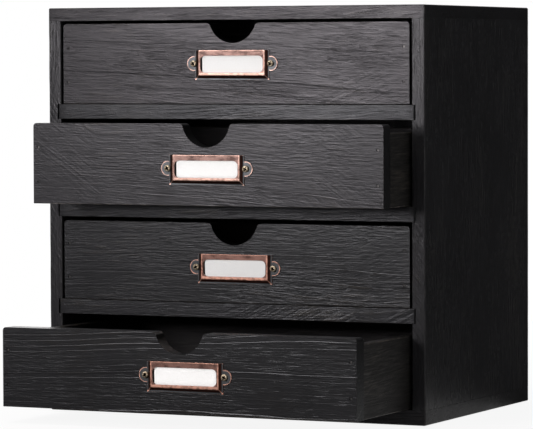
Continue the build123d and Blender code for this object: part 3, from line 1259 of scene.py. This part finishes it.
@dataclass(kw_only=True)
class DrawerBox(DrawerPart):
    """One drawer: notched front, grooved sides, back and plywood bottom.

    Attributes:
        plan: what sets its front apart.
        box_wood: finish of the sides and the back.
        ply: finish of the bottom.
        notch_radius: radius of the finger notch.
        notch_corner: how far back the rounding reaches where the notch meets the top edge.
        notch_shade: how much painted shade darkens the finger notch's walls.
        inside_shade: how much painted shade darkens the box's inner faces.
        corner: rounding of the front's upper corners.
        arris: rounding round the front's face.
        seam: rounding of the front's lower edge.
        step: distance between the cuts that let an arris waver.
        groove: low and high side of the groove for the bottom, over the drawer's underside.
        groove_depth: depth of that groove.
        groove_half: half its length in the front.
        front_brad_x: distance of the front's brads from its middle.
        front_brad_z: heights of the front's brads over its lower edge.
        box_brad_z: heights of the sides' brads over their lower edge.
    """

    plan: FrontPlan
    box_wood: StainedWood = BOX_WOOD
    ply: StainedPlywood = StainedPlywood()
    notch_radius: float = 15.8 * MM
    notch_corner: float = 0.78 * 2.5 * MM
    notch_shade: float = 0.95
    inside_shade: float = 0.5
    corner: float = 2.0 * MM
    arris: float = 0.8 * MM
    seam: float = 0.3 * MM
    step: float = 6.0 * MM
    groove: Span = (4.0 * MM, 7.2 * MM)
    groove_depth: float = 3.0 * MM
    groove_half: float = 111.5 * MM
    front_brad_x: float = 111.5 * MM
    front_brad_z: Span = (13.2 * MM, 33.9 * MM)
    box_brad_z: Span = (14.0 * MM, 34.0 * MM)

    def build(self) -> None:
        """Builds and dresses every board."""
        self._front()
        for part, side in (("left_side", -1.0), ("right_side", 1.0)):
            self._side(part, side)
        self._back()
        self._bottom()

    def _outline(self, shape: BMesh, low: Vector, high: Vector) -> BMFace:
        """Draws the front's face with its finger notch.

        Args:
            shape: the empty shape.
            low: lowest corner of the front.
            high: highest corner of the front.

        Returns:
            The face.
        """
        rise, shift = self.plan.notch_rise, self.plan.notch_shift
        start = shape.verts.new((shift - math.sqrt(self.notch_radius**2 - rise**2), low.y, high.z))
        centre = Vector((shift, low.y, high.z + rise))
        sweep = 2 * math.acos(rise / self.notch_radius)
        swung = bmesh.ops.spin(shape, geom=[start], cent=centre, axis=(0.0, -1.0, 0.0), angle=sweep, steps=20)
        end = only(swung["geom_last"], BMVert)[0]
        corners = [(high.x, high.z), (high.x, low.z), (low.x, low.z), (low.x, high.z)]
        chain = [end, *[shape.verts.new((x, low.y, z)) for x, z in corners], start]
        for first, second in zip(chain, chain[1:]):
            shape.edges.new((first, second))
        bmesh.ops.contextual_create(shape, geom=list(shape.edges))
        bevel(shape, (start, end), self.notch_corner, 5, "VERTICES")
        bevel(shape, (chain[1], chain[4]), self.corner, 5, "VERTICES")
        shape.faces.ensure_lookup_table()
        return shape.faces[0]

    def _front(self) -> None:
        """Builds the front board."""
        low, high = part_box(self.node("front"))
        shape = new_shape(WEAR_LAYER, DARKENING_LAYER)
        thicken(shape, self._outline(shape, low, high), high.y - low.y)
        slice_along(shape, 0, self.step)

        def rims(y: float) -> list[BMEdge]:
            """Arrises round the face at a depth."""
            return [e for e in outer_edges(shape, 60.0) if on_level(e, 1, y)]

        ease(shape, [e for e in rims(low.y) if on_level(e, 2, low.z)], self.seam)
        ease(shape, rims(low.y), self.arris)
        ease(shape, rims(high.y), 0.4 * self.arris, 2)
        groove = {0: (-self.groove_half, self.groove_half), 2: tuple(low.z + z for z in self.groove)}
        sink_pocket(shape, 1, high.y, groove, -self.groove_depth)
        shape.normal_update()
        # painted shade on the finger notch's walls
        for face in shape.faces:
            middle = face.calc_center_median()
            inside = low.z + self.arris < middle.z < high.z - 10 * TOUCH
            near = abs(middle.x - self.plan.notch_shift) < self.notch_radius
            if inside and near and abs(face.normal.y) < 0.5:
                mark_faces(shape, DARKENING_LAYER, [face], self.notch_shade)
        ends = (-self.front_brad_x, self.front_brad_x)
        sink_brads(shape, 1, low.y, [{0: x, 2: low.z + z} for x in ends for z in self.front_brad_z], 1.0)
        mount_board(shape, self.node("front"), self.body, self.plan.wood(), self.plan.cut)

    def _side(self, part: str, side: float) -> None:
        """Builds a side board with the groove for the bottom.

        Args:
            part: last words of its CAD node's name.
            side: -1 for the left, 1 for the right.
        """
        node = self.node(part)
        low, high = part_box(node)
        outer, inner = (high.x, low.x) if side > 0 else (low.x, high.x)
        deep = inner + side * self.groove_depth
        bottom, top = (low.z + z for z in self.groove)
        section = [
            (outer, low.z), (outer, high.z), (inner, high.z), (inner, top), (deep, top), (deep, bottom),
            (inner, bottom), (inner, low.z),
        ]
        shape = section_shape(section, (low.y, high.y))
        slice_along(shape, 1, self.step)
        ease(shape, running(outer_edges(shape), 1), 0.8 * self.arris)
        # painted shade on the side's inner faces
        inner_faces = [f for f in shape.faces if f.normal.x * side < -ALONG]
        mark_faces(shape, DARKENING_LAYER, inner_faces, self.inside_shade)
        back_y = middle_on(self.node("back"), 1)
        sink_brads(shape, 0, outer, [{1: back_y, 2: low.z + z} for z in self.box_brad_z], -side)
        cut = BoardCut(GrainAxis.DEEP, (0.03 * side + 0.004 * self.index, -0.03), (0.04, 0.02 * side))
        mount_board(shape, node, self.body, self.box_wood, cut)

    def _back(self) -> None:
        """Builds the back board."""
        node = self.node("back")
        shape = block_shape(*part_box(node))
        slice_along(shape, 0, self.step)
        ease(shape, outer_edges(shape), 0.6 * self.arris)
        # painted shade on the back's inner face
        mark_faces(shape, DARKENING_LAYER, [f for f in shape.faces if f.normal.y < -ALONG], self.inside_shade)
        cut = BoardCut(GrainAxis.ACROSS, (0.03, 0.04 - 0.015 * self.index), (0.05, 0.03))
        mount_board(shape, node, self.body, self.box_wood, cut)

    def _bottom(self) -> None:
        """Builds the plywood bottom."""
        node = self.node("bottom")
        shape = block_shape(*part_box(node))
        slice_along(shape, 1, 2 * self.step)
        ease(shape, outer_edges(shape), 0.25 * self.arris, 2)
        cut = BoardCut(GrainAxis.DEEP, (0.02 * self.index, 0.09), (0.04, 0.05))
        material = self.ply.material(f"stained_{node}", cut, middle_of(node), 2)
        mount_piece(shape, PieceTag(f"{node}_ply", self.body, "stained_plywood", (node,)), material)


@dataclass(kw_only=True)
class LabelHolder(DrawerPart):
    """Pressed label frame of a drawer, with its two screws and its paper card.

    Attributes:
        copper: finish of the frame.
        brass: finish of the screws.
        paper: finish of the card.
        width: width of the frame over its flange.
        raised: how far the face stands off the wood.
        sheet: thickness of the metal.
        wall_run: width of a sloped wall, seen square on.
        lip: width of the flange round the walls.
        ear_radius: radius of the screw ears.
        ear_reach: how far an ear's centre lies outside the flange.
        hole_radius: radius of the screw holes.
        window_sides: margin of the window at either end of the face.
        window_top: margin over the window.
        window_bottom: margin under the window.
        window_corner: rounding of the window's corners.
        fold: rounding where the walls fold away from the face.
        cut_edge: rounding of the sheet's cut edges.
        flange_grime: share of the dark tarnish on the flange and the ears.
        head_radius: radius of a screw's head.
        head_height: height of its crown over the seat.
        rim_height: height of its rim over the seat.
        head_edge: rounding of its rim.
        recess: length and width of an arm pair of the cross recess.
        recess_depth: depth of the recess.
        crown_cuts: where the crown is cut to round it, as shares of the head's radius.
        screw_turns: how far the left and the right screw are turned, in radians.
        card_corner: rounding of the card's corners.
        card_edge: rounding of the card's edges.
    """

    copper: AntiqueCopper
    brass: Material
    paper: Material
    width: float = 49.2 * MM
    raised: float = 1.6 * MM
    sheet: float = 0.6 * MM
    wall_run: float = 1.8 * MM
    lip: float = 1.0 * MM
    ear_radius: float = 4.4 * MM
    ear_reach: float = 1.0 * MM
    hole_radius: float = 1.2 * MM
    window_sides: float = 1.05 * MM
    window_top: float = 3.3 * MM
    window_bottom: float = 1.5 * MM
    window_corner: float = 2.9 * MM
    fold: float = 0.42 * MM
    cut_edge: float = 0.22 * MM
    flange_grime: float = 0.5
    head_radius: float = 1.9 * MM
    head_height: float = 1.3 * MM
    rim_height: float = 1.0 * MM
    head_edge: float = 0.3 * MM
    recess: Span = (2.5 * MM, 1.05 * MM)
    recess_depth: float = 0.9 * MM
    crown_cuts: tuple[float, ...] = (0.45, 0.80, 0.92)
    screw_turns: Span = (0.5, 1.1)
    card_corner: float = 2.2 * MM
    card_edge: float = 0.06 * MM

    @property
    def middle(self) -> float:
        """Middle of the frame, from left to right."""
        return middle_on(self.node("label_frame"), 0)

    @property
    def screw_level(self) -> float:
        """Height of the two screws."""
        return middle_on(self.node("label_screws"), 2)

    def build(self) -> None:
        """Builds and dresses the frame, its screws and its card."""
        self._frame()
        self._screws()
        self._card()

    def _frame(self) -> None:
        """Presses the frame out of one sheet."""
        node, level = self.node("label_frame"), self.screw_level
        low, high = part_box(node)
        face, flange = high.y - self.raised, high.y - self.sheet
        half = self.width / 2 - self.lip - self.wall_run
        bottom, top = low.z + self.lip + self.wall_run, high.z
        shape = new_shape(WEAR_LAYER, DARKENING_LAYER)
        corners = ((-half, top), (-half, bottom), (half, bottom), (half, top))
        rim = [shape.verts.new((x, face, z)) for x, z in corners]
        edges = [shape.edges.new((rim[i], rim[(i + 1) % 4])) for i in range(4)]
        window = self._window_loop(shape, face, half, bottom, top)
        bmesh.ops.triangle_fill(shape, use_beauty=True, edges=[*edges, *window], normal=(0.0, -1.0, 0.0))
        walls = self._skirt(shape, edges[:3], self.wall_run, flange, (bottom + top) / 2)
        self._skirt(shape, walls, self.lip, flange, (bottom + top) / 2)
        for side in (-1.0, 1.0):
            self._ear(shape, side, flange, level)
        bmesh.ops.remove_doubles(shape, verts=shape.verts, dist=TOUCH)
        bmesh.ops.recalc_face_normals(shape, faces=shape.faces)
        if sum(patch.normal.y * patch.calc_area() for patch in shape.faces) > 0:
            bmesh.ops.reverse_faces(shape, faces=shape.faces)
        bmesh.ops.solidify(shape, geom=list(shape.faces), thickness=self.sheet)
        bmesh.ops.translate(shape, verts=shape.verts, vec=(self.middle, 0.0, 0.0))
        bmesh.ops.recalc_face_normals(shape, faces=shape.faces)
        self._shade_and_tarnish(shape, face, flange)
        place = FrameFace(
            Vector((self.middle, 0.0, level)), half, bottom - level, top - level,
            self.width / 2 + self.ear_reach, self.ear_radius, self.width / 2, low.z - level,
        )
        material = self.copper.material(f"antique_copper_{self.index}", place)
        mount_piece(shape, PieceTag(f"{node}_pressing", self.body, "antique_copper", (node,)), material)

    def _shade_and_tarnish(self, shape: BMesh, face: float, flange: float) -> None:
        """Marks the frame's sloped walls and back for painted shade and its flange for tarnish, rounds its
        folds and cut edges and marks them as rubbed.

        Args:
            shape: the frame.
            face: level of the face.
            flange: level of the flange's face.
        """
        # painted shade on the sloped walls and the sheet's back
        dark = [f for f in shape.faces if 0.2 < abs(f.normal.y) < 0.95 or f.normal.y > 0.5]
        mark_faces(shape, DARKENING_LAYER, dark)
        on_flange = [
            f for f in shape.faces if f.normal.y < -0.95 and abs(f.calc_center_median().y - flange) < TOUCH
        ]
        mark_faces(shape, DARKENING_LAYER, on_flange, self.flange_grime)
        folds = [e for e in outer_edges(shape, 20.0) if on_level(e, 1, face)]
        ease(shape, [e for e in folds if any(-0.95 < f.normal.y < -0.2 for f in e.link_faces)], self.fold)
        sharp = math.radians(40.0)
        rest = [e for e in shape.edges if e.is_manifold and abs(e.calc_face_angle_signed(0.0)) > sharp]
        ease(shape, rest, self.cut_edge)
        bmesh.ops.dissolve_degenerate(shape, dist=2 * TOUCH, edges=shape.edges)

    def _skirt(
        self, shape: BMesh, edges: list[BMEdge], run: float, level: float, middle: float
    ) -> list[BMEdge]:
        """Folds a strip outwards along the frame's two ends and its lower edge.

        Args:
            shape: the shape.
            edges: the edges to fold along.
            run: width of the strip, seen square on.
            level: where its outer edge lies in depth.
            middle: middle height of the face.

        Returns:
            The strip's outer edges.
        """
        grown = bmesh.ops.extrude_edge_only(shape, edges=edges)["geom"]
        verts = only(grown, BMVert)
        for vertex in verts:
            down = run if vertex.co.z < middle else 0.0
            vertex.co = (vertex.co.x + math.copysign(run, vertex.co.x), level, vertex.co.z - down)
        return [edge for edge in only(grown, BMEdge) if all(vertex in verts for vertex in edge.verts)]

    def _window_loop(self, shape: BMesh, face: float, half: float, bottom: float, top: float) -> list[BMEdge]:
        """Draws the window's rounded outline.

        Args:
            shape: the shape.
            face: level of the face.
            half: half the face's width.
            bottom: lower edge of the face.
            top: upper edge of the face.

        Returns:
            The outline's edges.
        """
        side, low, high = half - self.window_sides, bottom + self.window_bottom, top - self.window_top
        known = set(shape.edges)
        corners = ((-side, low), (side, low), (side, high), (-side, high))
        pane = shape.faces.new([shape.verts.new((x, face, z)) for x, z in corners])
        bevel(shape, pane.verts, self.window_corner, 6, "VERTICES")
        loop = [edge for edge in shape.edges if edge not in known]
        bmesh.ops.delete(shape, geom=list(shape.faces), context="FACES_ONLY")
        return loop

    def _ear(self, shape: BMesh, side: float, flange: float, level: float) -> None:
        """Adds a round ear with its screw hole to one end of the flange.

        Args:
            shape: the shape.
            side: -1 for the left, 1 for the right.
            flange: level of the flange's face.
            level: height of the screw.
        """
        edge_x = side * self.width / 2
        chord = math.sqrt(self.ear_radius**2 - self.ear_reach**2)
        inner = self.width / 2 - self.lip - TOUCH
        for z in (level - chord, level + chord):
            lips = [face for face in shape.faces if all(side * vertex.co.x > inner for vertex in face.verts)]
            cut_across(shape, lips, 2, z)
        centre = Vector((edge_x + side * self.ear_reach, flange, level))
        known = set(shape.edges)
        start = shape.verts.new((edge_x, flange, level - chord))
        sweep = 2 * (math.pi - math.acos(self.ear_reach / self.ear_radius))
        axis = (0.0, -side, 0.0)
        swung = bmesh.ops.spin(shape, geom=[start], cent=centre, axis=axis, angle=sweep, steps=28)
        shape.edges.new((only(swung["geom_last"], BMVert)[0], start))
        turn = Matrix.Translation(centre) @ Matrix.Rotation(math.pi / 2, 4, "X")
        bmesh.ops.create_circle(shape, cap_ends=False, radius=self.hole_radius, segments=20, matrix=turn)
        outline = [edge for edge in shape.edges if edge not in known]
        bmesh.ops.triangle_fill(shape, use_beauty=True, edges=outline, normal=(0.0, -1.0, 0.0))

    def _screws(self) -> None:
        """Turns the two round-head screws with their cross recesses."""
        node = self.node("label_screws")
        reach = self.width / 2 + self.ear_reach
        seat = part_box(self.node("label_frame"))[1].y - self.sheet
        shape = new_shape(DARKENING_LAYER)
        for x, turn in zip((-reach, reach), self.screw_turns):
            head = self._screw_head()
            place = Matrix.Translation((self.middle + x, seat, self.screw_level))
            place = place @ Matrix.Rotation(math.pi / 2, 4, "X") @ Matrix.Rotation(turn, 4, "Z")
            bmesh.ops.transform(head, matrix=place, verts=head.verts)
            mesh = bpy.data.meshes.new("screw_draft")
            head.to_mesh(mesh)
            head.free()
            shape.from_mesh(mesh)
            bpy.data.meshes.remove(mesh)
        mount_piece(shape, PieceTag(f"{node}_round_heads", self.body, "aged_brass", (node,)), self.brass)

    def _screw_head(self) -> BMesh:
        """Makes one screw, its head's seat on z = 0.

        Returns:
            The screw's shape.
        """
        shape = new_shape(DARKENING_LAYER)
        length, width = (size / 2 for size in self.recess)
        bmesh.ops.create_circle(shape, cap_ends=True, radius=self.head_radius, segments=48)
        rings = [share * self.head_radius for share in self.crown_cuts]
        for axis in (0, 1):
            for cut in (width, length, *rings):
                for place in (-cut, cut):
                    cut_across(shape, shape.faces, axis, place)
        crown = self.head_height - self.rim_height
        for vertex in shape.verts:
            share = min(1.0, vertex.co.xy.length / self.head_radius)
            vertex.co.z = self.rim_height + crown * math.sqrt(max(0.0, 1.0 - share**2.4))
        arms = []
        for face in shape.faces:
            near, far = sorted(abs(part) for part in face.calc_center_median().xy)
            if near < width and far < length:
                arms.append(face)
        floor = push_faces(shape, arms, Vector((0.0, 0.0, -self.recess_depth)))
        # painted shade in the cross recess
        mark_faces(shape, DARKENING_LAYER, {face for vertex in floor for face in vertex.link_faces})
        skirt = bmesh.ops.extrude_edge_only(shape, edges=[e for e in shape.edges if e.is_boundary])["geom"]
        for vertex in only(skirt, BMVert):
            vertex.co.z = 0.0
        bmesh.ops.contextual_create(shape, geom=[e for e in shape.edges if e.is_boundary])
        bmesh.ops.recalc_face_normals(shape, faces=shape.faces)
        bevel(shape, [e for e in shape.edges if on_level(e, 2, self.rim_height, WELD)], self.head_edge, 3)
        return shape

    def _card(self) -> None:
        """Cuts the paper card."""
        node = self.node("label_card")
        shape = block_shape(*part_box(node))
        ease(shape, running(shape.edges, 1), self.card_corner, 5)
        ease(shape, outer_edges(shape, 60.0), self.card_edge, 2)
        tag = PieceTag(f"{node}_paper", f"label_card_{self.index}", "white_card", (node,))
        mount_piece(shape, tag, self.paper)


@dataclass(frozen=True)
class SoftLamp:
    """A soft lamp of the studio.

    Attributes:
        name: its name.
        place: where it hangs.
        aim: point that it faces.
        size: its width and height.
        power: its power, in watts.
    """

    name: str
    place: Point
    aim: Point
    size: Span
    power: float


@dataclass
class StudioStage:
    """Pale floor, soft lamps and the camera of the photograph.

    Attributes:
        picture_width: width of the picture, in pixels.
        focal: focal length, in pixels.
        yaw: how far the camera stands to the right of the front, in degrees.
        pitch: how far it looks up, in degrees.
        roll: how far it leans, in degrees.
        eye: where it stands.
        floor_size: side of the floor.
        floor_level: height of the floor, a hair under the object.
        floor_paper: colour of the floor.
        surround: light of the room on the object.
        mirrored: brightness of the surround in shiny surfaces, at the black flags and elsewhere.
        flags: ways from the object to the black flags.
        flag_reach: angle about them at which a flag starts to fade and ends, in degrees.
        shadow: share of the real shadow that the floor shows.
        shadow_reach: distance from the middle over which that share fades.
        lamp_colour: colour of the lamps.
        lamps: the lamps.
    """

    picture_width: float = 533.0
    focal: float = 3496.03
    yaw: float = 25.196
    pitch: float = -2.514
    roll: float = -0.199
    eye: Point = (0.91119, -1.97497, 0.21439)
    floor_size: float = 6.0
    floor_level: float = -0.0003
    floor_paper: Colour = (0.82, 0.82, 0.82, 1.0)
    surround: float = 0.42
    mirrored: Span = (0.03, 0.40)
    flags: tuple[Point, ...] = ((-0.42, -0.90, 0.0), (0.42, 0.90, 0.0))
    flag_reach: Span = (30.0, 52.0)
    shadow: float = 0.10
    shadow_reach: Span = (0.25, 0.75)
    lamp_colour: Point = (1.0, 0.975, 0.985)
    lamps: tuple[SoftLamp, ...] = (
        SoftLamp("key_softbox", (-0.335, -0.95, 0.294), (0.0, -0.09, 0.14), (0.30, 0.24), 4.6),
        SoftLamp("overhead_softbox", (-0.25, -0.30, 1.30), (0.0, 0.0, 0.2), (0.60, 0.40), 6.0),
        SoftLamp("rear_softbox", (-0.80, 1.00, 0.70), (0.0, 0.05, 0.12), (1.60, 1.20), 9.0),
    )

    def build(self) -> None:
        """Sets up the camera, the floor, the room and the lamps."""
        self._camera()
        self._floor()
        self._room()
        for lamp in self.lamps:
            self._lamp(lamp)

    def _camera(self) -> None:
        """Stands the camera where the photograph was taken."""
        data = bpy.data.cameras.new("photo_camera")
        data.sensor_width = 36.0
        data.lens = self.focal / self.picture_width * data.sensor_width
        data.clip_start, data.clip_end = 0.05, 30.0
        yaw, pitch, roll = (math.radians(angle) for angle in (self.yaw, self.pitch, self.roll))
        level = Vector((-math.sin(yaw), math.cos(yaw), 0.0))
        right = Vector((math.cos(yaw), math.sin(yaw), 0.0))
        ahead = level * math.cos(pitch) + Vector((0.0, 0.0, math.sin(pitch)))
        up = right.cross(ahead)
        right, up = right * math.cos(roll) + up * math.sin(roll), up * math.cos(roll) - right * math.sin(roll)
        turn = Matrix((right, up, -ahead)).transposed().to_4x4()
        camera = bpy.data.objects.new("photo_camera", data)
        camera.matrix_world = Matrix.Translation(self.eye) @ turn
        bpy.context.scene.collection.objects.link(camera)
        bpy.context.scene.camera = camera

    def _floor(self) -> None:
        """Lays the white floor."""
        shape = bmesh.new()
        bmesh.ops.create_grid(shape, x_segments=2, y_segments=2, size=self.floor_size / 2)
        bmesh.ops.translate(shape, verts=shape.verts, vec=(0.0, 0.0, self.floor_level))
        mesh = bpy.data.meshes.new("studio_floor")
        shape.to_mesh(mesh)
        shape.free()
        floor = bpy.data.objects.new("studio_floor", mesh)
        bpy.context.scene.collection.objects.link(floor)
        material, bench = new_material("studio_paper")
        at = bench.add("TexCoord").outputs["Object"]
        away = bench.vector("LENGTH", bench.vector("MULTIPLY", at, (1.0, 1.0, 0.0)))
        paper = bench.add("BsdfDiffuse", {"Color": self.floor_paper})
        white = bench.add("Emission", {"Color": WHITE, "Strength": 1.0})
        mirrored = self._mirrored(bench, bench.vector("NORMALIZE", at))
        dim = bench.add("Emission", {"Color": WHITE, "Strength": mirrored})
        seen, glossy = self._rays(bench)
        seen = bench.math("MULTIPLY", seen, bench.spread(away, *self.shadow_reach, (1.0 - self.shadow, 1.0)))
        lit = bench.add("MixShader", {0: glossy, 1: paper.outputs[0], 2: dim.outputs[0]})
        shown = bench.add("MixShader", {0: seen, 1: lit.outputs[0], 2: white.outputs[0]})
        bench.close("OutputMaterial", shown.outputs[0])
        mesh.materials.append(material)

    def _room(self) -> None:
        """Surrounds the object with a dim room that the camera sees as white."""
        world = bpy.data.worlds.new("studio_room")
        bpy.context.scene.world = world
        world.use_nodes = True
        bench = NodeBench(world.node_tree)
        seen, glossy = self._rays(bench)
        mirrored = self._mirrored(bench, bench.add("TexCoord").outputs["Generated"])
        change = bench.math("SUBTRACT", mirrored, self.surround)
        level = bench.math("MAXIMUM", bench.math("MULTIPLY_ADD", glossy, change, self.surround), seen)
        room = bench.add("Background", {"Color": WHITE, "Strength": level})
        bench.close("OutputWorld", room.outputs[0])

    def _rays(self, bench: NodeBench) -> tuple[NodeSocket, NodeSocket]:
        """Tells some rays from the others.

        Args:
            bench: the bench of the floor or of the room.

        Returns:
            Whether a ray is the camera's own, and whether a shiny surface mirrors it.
        """
        path = bench.add("LightPath").outputs
        seen = bench.math("MAXIMUM", path["Is Camera Ray"], path["Is Transmission Ray"])
        return seen, path["Is Glossy Ray"]

    def _mirrored(self, bench: NodeBench, way: Value) -> Value:
        """Works out what shiny surfaces mirror one way from the object.

        Args:
            bench: the bench of the floor or of the room.
            way: unit vector from the object.

        Returns:
            Brightness of the surround that way.
        """
        near, far = (math.cos(math.radians(angle)) for angle in self.flag_reach)
        black, grey = self.mirrored
        level: Value = grey
        for flag in self.flags:
            off = bench.vector("DOT_PRODUCT", way, tuple(Vector(flag).normalized()))
            level = bench.math("MINIMUM", level, bench.spread(off, far, near, (grey, black)))
        return level

    def _lamp(self, lamp: SoftLamp) -> None:
        """Hangs a soft lamp.

        Args:
            lamp: where it hangs and how it shines.
        """
        data = bpy.data.lights.new(lamp.name, "AREA")
        data.shape = "RECTANGLE"
        data.size, data.size_y = lamp.size
        data.energy = lamp.power
        data.color = self.lamp_colour
        hung = bpy.data.objects.new(lamp.name, data)
        turn = (Vector(lamp.aim) - Vector(lamp.place)).to_track_quat("-Z", "Y").to_matrix().to_4x4()
        hung.matrix_world = Matrix.Translation(lamp.place) @ turn
        bpy.context.scene.collection.objects.link(hung)


def dress_brads(frame: dict) -> None:
    """Gives the CAD brads a steel finish.

    Args:
        frame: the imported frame.
    """
    material = STEEL.material("brad_steel")
    for name, node in frame["nodes"].items():
        if name.endswith("brads"):
            node.data.materials.clear()
            node.data.materials.append(material)
            LOG.info("%s keeps its CAD shape", name)


def main() -> None:
    """Builds the organizer round its CAD frame and reports each piece."""
    logging.basicConfig(level=logging.INFO, format="%(name)s: %(message)s")
    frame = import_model()
    scene = bpy.context.scene
    scene.view_settings.view_transform = "Standard"
    CabinetCarcass().build()
    brass, paper = BRASS.material("aged_brass"), WhiteCard().material("white_card")
    for index, plan in enumerate(FRONT_PLANS, start=1):
        DrawerBox(index=index, plan=plan).build()
        LabelHolder(index=index, copper=plan.copper, brass=brass, paper=paper).build()
    dress_brads(frame)
    StudioStage().build()


if __name__ == "__main__":
    main()
